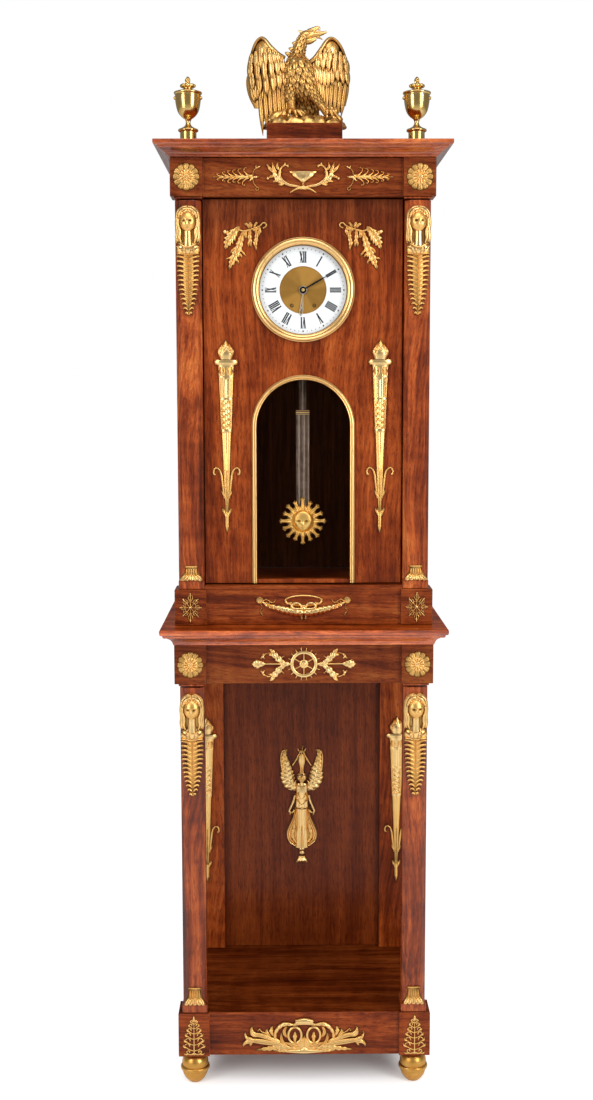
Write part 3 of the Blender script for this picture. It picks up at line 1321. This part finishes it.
def make_eagle():
    cornice_front = CASE_FRONT - CORNICE_OVERHANG
    plinth_front = cornice_front + EAGLE_PLINTH_SETBACK
    half = EAGLE_PLINTH_WIDTH / 2
    bottom = CORNICE_TOP
    top = bottom + EAGLE_PLINTH_HEIGHT
    low = (EAGLE_SHIFT - half, plinth_front, bottom)
    high = (EAGLE_SHIFT + half, plinth_front + EAGLE_PLINTH_DEPTH, top - GAP)
    keep("eagle_plinth", box_mesh(low, high), WOOD)

    shape = bmesh.new()
    middle = plinth_front + EAGLE_PLINTH_DEPTH / 2

    def place(spot):
        return (spot[0] * EAGLE_WIDTH, (0.5 - spot[1]) * EAGLE_DEPTH, spot[2] * EAGLE_HEIGHT)

    for group in (EAGLE_BODY_SHARES, EAGLE_GROUND_SHARES, EAGLE_LEG_SHARES):
        for spot, sizes, turn, tilt in group:
            half_sizes = (sizes[0] * EAGLE_WIDTH, sizes[1] * EAGLE_DEPTH, sizes[2] * EAGLE_HEIGHT)
            add_blob(shape, place(spot), half_sizes, turn, tilt)
    for sign in (-1, 1):
        for index, (root, tip, width) in enumerate(EAGLE_WING_SHARES):
            lean = 0 if sign < 0 else 0.10
            x0 = -sign * root[0] - lean * 0.9
            x1 = -sign * tip[0] - lean * 0.9
            z0, z1 = root[1] * EAGLE_HEIGHT, tip[1] * EAGLE_HEIGHT
            x0, x1 = x0 * EAGLE_WIDTH, x1 * EAGLE_WIDTH
            length = math.hypot(x1 - x0, z1 - z0)
            turn = math.degrees(math.atan2(x1 - x0, z1 - z0))
            deep = (0.20 - 0.02 * (index % 2)) * EAGLE_DEPTH
            spot = ((x0 + x1) / 2, deep, (z0 + z1) / 2)
            sizes = (width * EAGLE_WIDTH / 2, EAGLE_FEATHER_RELIEF * EAGLE_DEPTH, length / 2)
            add_blob(shape, spot, sizes, -turn)
        lean = 0 if sign < 0 else 0.09
        shoulder = (-sign * -0.24 - lean) * EAGLE_WIDTH
        spot = (shoulder, 0.13 * EAGLE_DEPTH, 0.66 * EAGLE_HEIGHT)
        sizes = (0.22 * EAGLE_WIDTH, 0.10 * EAGLE_DEPTH, 0.10 * EAGLE_HEIGHT)
        add_blob(shape, spot, sizes, sign * 48)
    eagle = keep("eagle", mesh_from(shape), GILT, (EAGLE_SHIFT, middle, top))
    reach = EAGLE_WIDTH
    under = box_mesh((-reach, -reach, -reach), (reach, reach, 0))
    boolean(eagle, tool("eagle_under", under, (EAGLE_SHIFT, middle, top)), "DIFFERENCE", True)


# Bust: shapes as shares of the width, relief and height, from the middle of its foot
BUST_SHARES = (
    ((0.0, 0.42, 0.75), (0.47, 0.42, 0.25), 0),
    ((0.0, 0.68, 0.66), (0.315, 0.42, 0.215), 0),
    ((-0.33, 0.28, 0.42), (0.15, 0.30, 0.29), -4),
    ((0.33, 0.28, 0.42), (0.15, 0.30, 0.29), 4),
    ((0.0, 0.34, 0.36), (0.20, 0.36, 0.19), 0),
    ((0.0, 0.30, 0.10), (0.48, 0.44, 0.15), 0),
)


def tail_outline():
    """A long palm leaf with toothed edges that hangs under the bust."""
    half = CARYATID_WIDTH * 0.49
    points = [(half * 0.5, 0)]
    lift = BUST_HEIGHT * 0.04
    for i in range(TAIL_TEETH):
        low = i / TAIL_TEETH
        high = (i + 0.62) / TAIL_TEETH
        taper = math.sqrt(max(0.0, 1 - ((low + 0.04) / 1.04) ** 3.2))
        inner = half * taper * 0.58
        outer = half * taper
        points.append((inner, lift - low * TAIL_LENGTH))
        points.append((outer, lift - (low + 0.30 / TAIL_TEETH) * TAIL_LENGTH))
        points.append((inner, lift - high * TAIL_LENGTH))
    points.append((0, -TAIL_LENGTH))
    return points[1:] + mirrored(points[-2:0:-1])


def make_caryatids():
    levels = (("lower", LOWER_SHAFT_TOP, STAND_FRONT), ("upper", UPPER_SHAFT_TOP, CASE_FRONT))
    for level, top, front in levels:
        for side, sign in (("left", -1), ("right", 1)):
            shape = bmesh.new()
            for spot, sizes, turn in BUST_SHARES:
                place = (spot[0] * CARYATID_WIDTH, -spot[1] * BUST_RELIEF * 0.6, spot[2] * BUST_HEIGHT)
                half = (sizes[0] * CARYATID_WIDTH, sizes[1] * BUST_RELIEF, sizes[2] * BUST_HEIGHT)
                add_blob(shape, place, half, turn)
            add_plate(shape, [tail_outline()], TAIL_THICKNESS)
            rib = [(0, 0.10 * BUST_HEIGHT), (0, -0.96 * TAIL_LENGTH)]
            add_stroke(shape, rib, [TAIL_THICKNESS, TAIL_THICKNESS / 2], 0, -TAIL_THICKNESS * 0.7)
            foot = top - CARYATID_DROP - BUST_HEIGHT
            spot = (sign * COLUMN_X, front + COLUMN_SETBACK - GAP, foot)
            cast(f"caryatid_{level}_{side}", shape, GILT, spot, TAIL_LENGTH * 2)


# Torch section: half width and relief follow the length, as shares from the top down
TORCH_SHARES = (
    (0.0, 0.0),
    (0.25, 0.055),
    (0.21, 0.098),
    (0.46, 0.104),
    (0.46, 0.124),
    (0.29, 0.130),
    (0.24, 0.48),
    (0.17, 0.50),
    (0.13, 0.77),
    (0.07, 0.985),
    (0.0, 1.0),
)
TORCH_LEAF_DROP_SHARE = 0.775
TORCH_LEAF_SPREAD_SHARE = 0.30
TORCH_CURL_SHARES = ((0.05, 0.78), (0.14, 0.68), (0.34, 0.645), (0.46, 0.675))


def make_torches():
    rows = (
        ("upper", UPPER_TORCH_SPACING, UPPER_TORCH_TOP, DOOR_FRONT),
        ("lower", LOWER_TORCH_SPACING, LOWER_TORCH_TOP, REAR_STILE_FRONT),
    )
    for row, spacing, top, front in rows:
        for side, sign in (("left", -1), ("right", 1)):
            profile = [(w * TORCH_WIDTH, (1 - down) * TORCH_LENGTH) for w, down in TORCH_SHARES]
            body = turned_mesh(profile, SMALL_SIDES)
            body.transform(Matrix.Rotation(math.pi / SMALL_SIDES, 4, "Z"))
            body.transform(Matrix.Diagonal((1.0, TORCH_RELIEF / (0.3 * TORCH_WIDTH), 1.0, 1.0)))
            shape = bmesh.new()
            add_mesh(shape, body)
            for end in (-1, 1):
                curl = [(end * x * TORCH_WIDTH, (1 - down) * TORCH_LENGTH) for x, down in TORCH_CURL_SHARES]
                thick = TORCH_WIDTH * 0.045
                add_stroke(shape, curl, [thick * 1.6, thick, thick, thick * 1.3])
            z = (1 - TORCH_LEAF_DROP_SHARE) * TORCH_LENGTH
            wide = TORCH_LEAF_SPREAD_SHARE * TORCH_WIDTH
            thick, deep = TORCH_WIDTH / 6, TORCH_RELIEF / 2
            add_leaf(shape, (-wide, z + wide / 3), (wide / 2, z - wide), thick, deep)
            add_leaf(shape, (wide, z + wide / 3), (-wide / 2, z - wide), thick, deep)
            spot = (sign * spacing, front - GAP, top - TORCH_LENGTH)
            cast(f"torch_{row}_{side}", shape, GILT, spot, TORCH_LENGTH * 1.2)


# Oak spray: foot, tip and width of each leaf, as shares of the spray's width and height
SPANDREL_LEAF_SHARES = (
    ((-0.02, 0.82), (-0.46, 0.42), 0.24),
    ((-0.04, 0.74), (-0.40, 0.01), 0.21),
    ((-0.04, 0.70), (-0.16, 0.18), 0.19),
    ((0.14, 0.94), (0.20, 0.42), 0.19),
    ((0.08, 0.90), (0.03, 0.50), 0.14),
    ((-0.14, 0.94), (0.14, 0.88), 0.14),
)
SPANDREL_STEM_SHARES = ((-0.06, 0.74), (0.10, 0.86), (0.26, 0.90), (0.40, 0.975), (0.48, 0.95), (0.44, 0.90))
SPANDREL_ACORN_SHARES = ((-0.06, 0.84), (-0.30, 0.80), (-0.44, 0.80))


def make_spandrels():
    for side, sign in (("left", 1), ("right", -1)):
        shape = bmesh.new()
        for start, end, width in SPANDREL_LEAF_SHARES:
            a = (sign * start[0] * SPANDREL_WIDTH, start[1] * SPANDREL_HEIGHT)
            b = (sign * end[0] * SPANDREL_WIDTH, end[1] * SPANDREL_HEIGHT)
            add_leaf(shape, a, b, width * SPANDREL_WIDTH, SPANDREL_RELIEF)
        thick = SPANDREL_WIDTH * 0.022
        stem = [(sign * x * SPANDREL_WIDTH, z * SPANDREL_HEIGHT) for x, z in SPANDREL_STEM_SHARES]
        add_stroke(shape, stem, [thick] * len(stem))
        twig = [(sign * x * SPANDREL_WIDTH, z * SPANDREL_HEIGHT) for x, z in SPANDREL_ACORN_SHARES]
        add_stroke(shape, twig, [thick, thick, thick * 1.8])
        spot = (-sign * SPANDREL_SPACING, DOOR_FRONT - GAP, SPANDREL_TOP - SPANDREL_HEIGHT)
        cast(f"spandrel_{side}", shape, GILT, spot, SPANDREL_WIDTH * 1.6)


SWAG_PATH_SHARES = (
    (-0.44, 0.88), (-0.32, 0.62), (-0.15, 0.40), (0.0, 0.33), (0.15, 0.40), (0.32, 0.62), (0.44, 0.88),
)
SWAG_THICK_SHARES = (0.020, 0.034, 0.050, 0.042, 0.050, 0.034, 0.020)
SWAG_RIBBON_SHARES = ((0.465, 0.80), (0.455, 0.62), (0.47, 0.40))
SWAG_RING_STEPS = 9


def make_swag():
    shape = bmesh.new()
    path = scaled(SWAG_PATH_SHARES, SWAG_WIDTH, SWAG_HEIGHT)
    add_stroke(shape, path, [share * SWAG_WIDTH for share in SWAG_THICK_SHARES], 1)
    for sign in (-1, 1):
        add_disc(shape, (sign * 0.465 * SWAG_WIDTH, 0.86 * SWAG_HEIGHT), 0.042 * SWAG_WIDTH, SWAG_RELIEF / 2)
        thick = SWAG_WIDTH * 0.009
        ribbon = [(sign * x * SWAG_WIDTH, z * SWAG_HEIGHT) for x, z in SWAG_RIBBON_SHARES]
        add_stroke(shape, ribbon, [thick] * len(ribbon))
        bow = (sign * 0.13 * SWAG_WIDTH, 0.66 * SWAG_HEIGHT)
        add_leaf(shape, (0, 0.48 * SWAG_HEIGHT), bow, SWAG_WIDTH * 0.05, SWAG_RELIEF / 2)
        knot = (sign * 0.03 * SWAG_WIDTH, 0.08 * SWAG_HEIGHT)
        add_leaf(shape, (0, 0.40 * SWAG_HEIGHT), knot, SWAG_WIDTH * 0.035, SWAG_RELIEF / 2)
    ring = []
    for i in range(SWAG_RING_STEPS + 1):
        angle = math.radians(-55 + 290 * i / SWAG_RING_STEPS)
        ring.append((0.19 * SWAG_WIDTH * math.cos(angle), (0.74 + 0.22 * math.sin(angle)) * SWAG_HEIGHT))
    add_stroke(shape, ring, [SWAG_WIDTH * 0.012] * len(ring))
    add_disc(shape, (0, 0.44 * SWAG_HEIGHT), 0.035 * SWAG_WIDTH, SWAG_RELIEF)
    spot = (0, CASE_FRONT + RECESS - GAP, SWAG_TOP - SWAG_HEIGHT)
    cast("swag_mount", shape, GILT, spot, SWAG_WIDTH)


WHEEL_LEAF_SHARES = (
    ((0.137, 0.014), (0.335, 0.155), 0.060),
    ((0.135, -0.012), (0.330, -0.158), 0.062),
    ((0.39, 0.0), (0.505, 0.0), 0.075),
)
WHEEL_TENDRIL_SHARES = ((0.26, 0.100), (0.35, 0.118), (0.42, 0.080))


def make_wheel_mount():
    width = WHEEL_WIDTH
    shape = bmesh.new()
    outer = toothed(WHEEL_RIM_RADIUS, WHEEL_TOOTH, WHEEL_TEETH)
    inner = circle_points(WHEEL_RIM_RADIUS - WHEEL_RIM_WIDTH, 2 * WHEEL_SPOKES, (0, 0), 15.0)
    add_plate(shape, [outer, inner], WHEEL_RELIEF * 0.9)
    add_disc(shape, (0, 0), WHEEL_HUB_RADIUS, WHEEL_RELIEF)
    spoke = WHEEL_RIM_WIDTH / 5
    for x, z in circle_points(WHEEL_RIM_RADIUS - WHEEL_RIM_WIDTH / 2, WHEEL_SPOKES, (0, 0), 88.0):
        add_stroke(shape, [(0, 0), (x, z)], [spoke, spoke])
    for sign in (-1, 1):
        for index, (start, end, wide) in enumerate(WHEEL_LEAF_SHARES):
            a = (sign * start[0] * width, start[1] * width)
            b = (sign * end[0] * width, end[1] * width)
            add_leaf(shape, a, b, wide * width, WHEEL_RELIEF * (0.78 + 0.1 * index))
        rim_middle = WHEEL_RIM_RADIUS - WHEEL_RIM_WIDTH / 2
        stem = [(sign * rim_middle, spoke / 4), (sign * 0.42 * width, spoke / 3)]
        add_stroke(shape, stem, [spoke * 1.6, spoke], 0, -spoke)
        for up in (-1, 1):
            tendril = [(sign * x * width, up * z * width) for x, z in WHEEL_TENDRIL_SHARES]
            add_stroke(shape, tendril, [spoke, spoke, spoke * 2.4])
    middle = (STAND_FRIEZE_BOTTOM + STAND_FRIEZE_TOP) / 2
    cast("wheel_mount", shape, GILT, (0, STAND_FRONT + RECESS - GAP, middle), width)


FIGURE_SHARES = (
    ((0.0, 0.01), (0.0, 0.12), 0.20, 0.6),
    ((0.0, 0.06), (0.0, 0.50), 0.26, 0.8),
    ((-0.08, 0.10), (-0.18, 0.46), 0.30, 0.6),
    ((0.08, 0.10), (0.18, 0.46), 0.30, 0.6),
    ((0.0, 0.36), (0.0, 0.70), 0.36, 1.0),
    ((-0.10, 0.42), (-0.24, 0.40), 0.14, 0.5),
    ((0.10, 0.42), (0.24, 0.40), 0.14, 0.5),
    ((0.0, 0.66), (0.0, 0.80), 0.22, 1.0),
    ((0.0, 0.76), (0.0, 0.99), 0.14, 0.6),
)
FIGURE_WING_SHARES = (
    ((-0.06, 0.61), (-0.44, 0.82), 0.18),
    ((-0.20, 0.66), (-0.48, 0.93), 0.17),
    ((-0.44, 0.82), (-0.36, 0.985), 0.10),
)
FIGURE_CORD_SHARES = ((-0.24, 0.82), (0.0, 0.95))


def make_figure():
    shape = bmesh.new()
    for start, end, wide, proud in FIGURE_SHARES:
        a = (start[0] * FIGURE_WIDTH, start[1] * FIGURE_HEIGHT)
        b = (end[0] * FIGURE_WIDTH, end[1] * FIGURE_HEIGHT)
        add_leaf(shape, a, b, wide * FIGURE_WIDTH, proud * FIGURE_RELIEF)
    for sign in (-1, 1):
        for start, end, wide in FIGURE_WING_SHARES:
            a = (sign * start[0] * FIGURE_WIDTH, start[1] * FIGURE_HEIGHT)
            b = (sign * end[0] * FIGURE_WIDTH, end[1] * FIGURE_HEIGHT)
            add_leaf(shape, a, b, wide * FIGURE_WIDTH, FIGURE_RELIEF * 0.5)
        cord = [(sign * x * FIGURE_WIDTH, z * FIGURE_HEIGHT) for x, z in FIGURE_CORD_SHARES]
        add_stroke(shape, cord, [FIGURE_WIDTH * 0.018] * len(cord))
    spot = (0, BACK_PANEL_FRONT - GAP, FIGURE_TOP - FIGURE_HEIGHT)
    cast("winged_figure", shape, GILT, spot, FIGURE_HEIGHT * 1.2)


BASE_SCROLL_SHARES = ((0.072, 0.56, 0.056, 0.20), (0.165, 0.51, 0.077, 0.31))
BASE_SCROLL_STEPS = 6
BASE_LEAF_SHARES = (
    ((0.02, 0.12), (0.42, 0.12), 0.055),
    ((0.08, 0.22), (0.47, 0.44), 0.060),
    ((0.18, 0.34), (0.36, 0.88), 0.060),
    ((0.38, 0.38), (0.50, 0.30), 0.055),
    ((0.31, 0.40), (0.45, 0.80), 0.050),
    ((0.02, 0.92), (0.17, 0.80), 0.045),
)


def make_base_mount():
    shape = bmesh.new()
    width, height = BASE_MOUNT_WIDTH, BASE_MOUNT_HEIGHT
    thick = width * 0.014
    for sign in (-1, 1):
        for x, z, across, up in BASE_SCROLL_SHARES:
            loop = []
            for i in range(BASE_SCROLL_STEPS + 1):
                angle = math.radians(-80 + 300 * i / BASE_SCROLL_STEPS)
                reach = (x + across * math.cos(angle)) * width
                loop.append((sign * reach, (z + up * math.sin(angle)) * height))
            add_stroke(shape, loop, [thick] * len(loop))
        for index, (start, end, wide) in enumerate(BASE_LEAF_SHARES):
            a = (sign * start[0] * width, start[1] * height)
            b = (sign * end[0] * width, end[1] * height)
            add_leaf(shape, a, b, wide * width, BASE_MOUNT_RELIEF * (0.6 + 0.04 * index))
    left, right = (-0.08 * width, 0.90 * height), (0.08 * width, 0.91 * height)
    add_leaf(shape, left, right, 0.055 * width, BASE_MOUNT_RELIEF)
    add_leaf(shape, (0, 0.05 * height), (0, 0.62 * height), 0.13 * width, BASE_MOUNT_RELIEF)
    spot = (0, STAND_FRONT + RECESS - GAP, BASE_BOTTOM + (BASE_HEIGHT - height) / 2)
    cast("base_mount", shape, GILT, spot, width)


TAZZA_HORN_SHARES = (
    (-0.10, 0.02), (0.0, 0.18), (0.14, 0.20), (0.27, 0.30), (0.345, 0.50), (0.34, 0.72), (0.28, 0.90),
)
TAZZA_LEAF_SHARES = (
    ((0.34, 0.36), (0.47, 0.86), 0.10),
    ((0.32, 0.40), (0.35, 0.98), 0.09),
    ((0.38, 0.42), (0.49, 0.50), 0.09),
    ((0.30, 0.86), (0.22, 0.92), 0.05),
)
TAZZA_CUP_SHARES = (
    (-0.15, 0.80), (-0.11, 0.70), (-0.04, 0.46), (-0.015, 0.40), (-0.05, 0.20), (0.05, 0.20), (0.015, 0.40),
    (0.04, 0.46), (0.11, 0.70), (0.15, 0.80),
)
SPRAY_LEAF_PAIRS = 5


def make_frieze_mounts():
    width, height = TAZZA_WIDTH, TAZZA_HEIGHT
    shape = bmesh.new()
    add_plate(shape, [scaled(TAZZA_CUP_SHARES, width, height)], TAZZA_RELIEF * 0.8)
    for sign in (-1, 1):
        horn = [(sign * x * width, z * height) for x, z in TAZZA_HORN_SHARES]
        thick = width * 0.016
        add_stroke(shape, horn, [thick, thick, thick * 1.2, thick * 1.4, thick * 1.5, thick * 1.2, thick])
        for start, end, wide in TAZZA_LEAF_SHARES:
            a = (sign * start[0] * width, start[1] * height)
            b = (sign * end[0] * width, end[1] * height)
            add_leaf(shape, a, b, wide * width, TAZZA_RELIEF * 0.8)
    middle = (CASE_FRIEZE_BOTTOM + CASE_FRIEZE_TOP) / 2
    plane = CASE_FRONT + RECESS - GAP
    cast("tazza_mount", shape, GILT, (0, plane, middle - height / 2), width)

    for side, sign in (("left", -1), ("right", 1)):
        shape = bmesh.new()
        half = SPRAY_LENGTH / 2
        thick = SPRAY_HEIGHT * 0.05
        add_stroke(shape, [(-half, 0), (0, 0), (half, 0)], [thick, thick * 1.4, thick])
        for i in range(SPRAY_LEAF_PAIRS):
            share = (i + 0.5) / SPRAY_LEAF_PAIRS
            start = sign * half * (1.5 * share - 0.72)
            swell = math.sin(math.pi * (0.18 + 0.75 * (1 - share)))
            for up in (-1, 1):
                tip = (start + sign * half * 0.24, up * SPRAY_HEIGHT * 0.40 * swell)
                add_leaf(shape, (start - sign * half * 0.05, 0), tip, SPRAY_HEIGHT * 0.17, SPRAY_RELIEF)
        for up in (-1, 1):
            tendril = [(-0.56, 0.0), (-0.68, 0.28), (-0.92, 0.46)]
            tendril = [(sign * x * half, up * z * SPRAY_HEIGHT) for x, z in tendril]
            add_stroke(shape, tendril, [thick * 0.8, thick * 0.7, thick * 1.5])
        cast(f"frieze_spray_{side}", shape, GILT, (sign * SPRAY_SPACING, plane, middle), SPRAY_LENGTH)


make_feet()
make_carcass()
make_mouldings()
make_columns()
make_backs()
make_door()
make_bezel()
make_dial()
make_hands()
make_plates()
make_train()
make_escapement()
make_strike()
make_pendulum()
make_urns()
make_eagle()
make_caryatids()
make_torches()
make_spandrels()
make_swag()
make_wheel_mount()
make_figure()
make_base_mount()
make_frieze_mounts()
bpy.context.view_layer.update()
